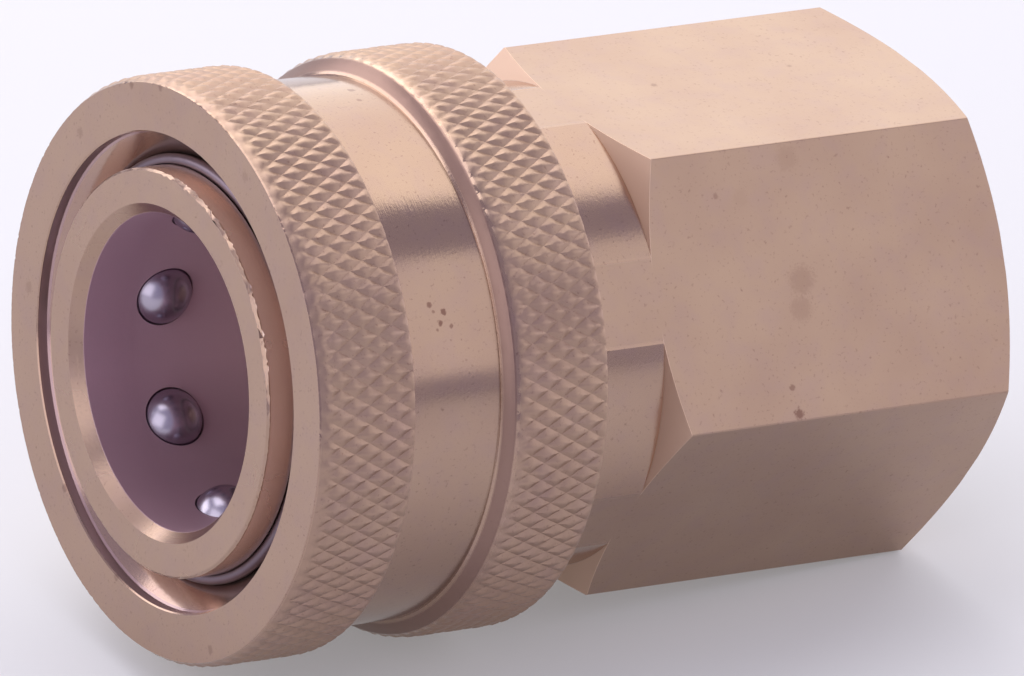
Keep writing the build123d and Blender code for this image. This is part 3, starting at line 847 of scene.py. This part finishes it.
# %% Paint of the floor
FLOOR_PAINT = "#D4D3D8"
GLOW = "#FFFFFF"
GLOW_SHARE = 0.21
floor_paint, floor_tree, floor_shader = new_material(
    "pale_floor_paint", Roughness=0.9, Base_Color=linear(FLOOR_PAINT))
rays = add(floor_tree, "ShaderNodeLightPath")
seen = rays.outputs["Is Camera Ray"]
for kind in ("Is Glossy Ray", "Is Transmission Ray"):
    seen = add(floor_tree, "ShaderNodeMath", {"operation": "MAXIMUM"},
               {0: seen, 1: rays.outputs[kind]}).outputs[0]
share = add(floor_tree, "ShaderNodeMath", {"operation": "MULTIPLY", 1: GLOW_SHARE}, {0: seen})
glow = add(floor_tree, "ShaderNodeEmission", {"Color": linear(GLOW), "Strength": 1.0})
mixed = add(floor_tree, "ShaderNodeMixShader",
            links={0: share.outputs[0], 1: floor_shader.outputs[0], 2: glow.outputs[0]})
output = floor_tree.nodes["Material Output"]
floor_tree.links.new(mixed.outputs[0], output.inputs["Surface"])
floor.data.materials.append(floor_paint)
print("the floor glows by", GLOW_SHARE)

# %% [markdown]
# Metal shows what surrounds it, so the lamps are placed by what the photograph's brass reflects.
# A broad softbox behind and above lights the upper flats, and a dimmer panel on the viewer's
# right lights the middle ones. The gap between the two is the dark band on the waist and neck. A
# card in front gives the sleeve's face and the chamfers their plain tone. The left softbox and
# the knurl light graze the knurl from behind, the top card fills the upper edges, and the rear
# softbox lights the hexagon's end. Each lamp's power is worked out from the brightness that its
# surface would have as a card, so that its size can change and its look stays.

# %% Lamps
CENTRE = on_axis(25)
LAMP_DISTANCE = 0.6
# Each lamp: its name, the direction it stands in, its width and height in metres, its
# brightness as a card and its colour
LAMPS = (
    ("back_softbox", (0.42, 0.645, 0.638), (0.9, 0.86), 1.33, "#FFFFF2"),
    ("right_panel", (0.53, -0.683, 0.505), (0.5, 0.44), 0.65, "#FFFFF0"),
    ("rear_softbox", (0.97, -0.1, 0.2), (0.5, 0.3), 1.3, "#FFFFFF"),
    ("front_card", (-0.93, -0.22, 0.3), (0.45, 0.45), 1.1, "#FFFFFF"),
    ("left_softbox", (-0.6, 0.75, 0.28), (0.6, 0.3), 2.15, "#FFFFFF"),
    ("knurl_light", (0.05, 0.75, 0.66), (0.35, 0.4), 1.5, "#FFFFFF"),
    ("top_card", (-0.35, 0.2, 0.92), (0.4, 0.4), 1.7, "#FFFFFF"),
)
for name, direction, size, brightness, code in LAMPS:
    lamp = bpy.data.lights.new(name, "AREA")
    lamp.shape = "RECTANGLE"
    lamp.size, lamp.size_y = size
    lamp.energy = brightness * pi * size[0] * size[1]
    lamp.color = linear(code)[:3]
    stand = bpy.data.objects.new(name, lamp)
    bpy.context.collection.objects.link(stand)
    towards = Vector(direction).normalized()
    stand.location = CENTRE + towards * LAMP_DISTANCE
    stand.rotation_euler = towards.to_track_quat("Z", "Y").to_euler()
print("lamps:", len(LAMPS))

# %% [markdown]
# The world fills the gaps between the lamps, as the walls of a room do. A picture of a room
# could do it too, but it would show in the brass and come from outside the file. One even colour
# keeps the scene plain. The photograph's shadows are a dull lilac, so the world is too.

# %% World
WORLD_LILAC = "#B8B2CA"
world = bpy.data.worlds.new("studio_world")
bpy.context.scene.world = world
world.use_nodes = True
background = world.node_tree.nodes["Background"]
background.inputs["Color"].default_value = linear(WORLD_LILAC)
background.inputs["Strength"].default_value = 1.0
print("world:", WORLD_LILAC)

# %% [markdown]
# The camera is a long lens far away. Its place and turn were worked out from the ellipses of the
# sleeve and the corners of the hexagon in the photograph. The turn is written as the directions
# of the camera's right, its top and its back, which are the columns of its matrix.

# %% Camera
CAMERA_PLACE = Vector((-698.0, -986.9, 553.0))
RIGHT = Vector((0.8418, -0.5236, 0.1314))
UP = Vector((0.1143, 0.4107, 0.9045))
BACK = Vector((-0.5276, -0.7465, 0.4056))
LENS = 780.9
SENSOR = 36.0
camera_data = bpy.data.cameras.new("studio_camera")
camera_data.sensor_width = SENSOR
camera_data.lens = LENS
camera = bpy.data.objects.new("studio_camera", camera_data)
bpy.context.collection.objects.link(camera)
turn = Matrix((RIGHT, UP, BACK)).transposed().to_4x4()
camera.matrix_world = Matrix.Translation(CAMERA_PLACE * MM) @ turn
bpy.context.scene.camera = camera
bpy.context.scene.view_settings.view_transform = "Standard"
print("camera at", [round(v, 3) for v in camera.location])
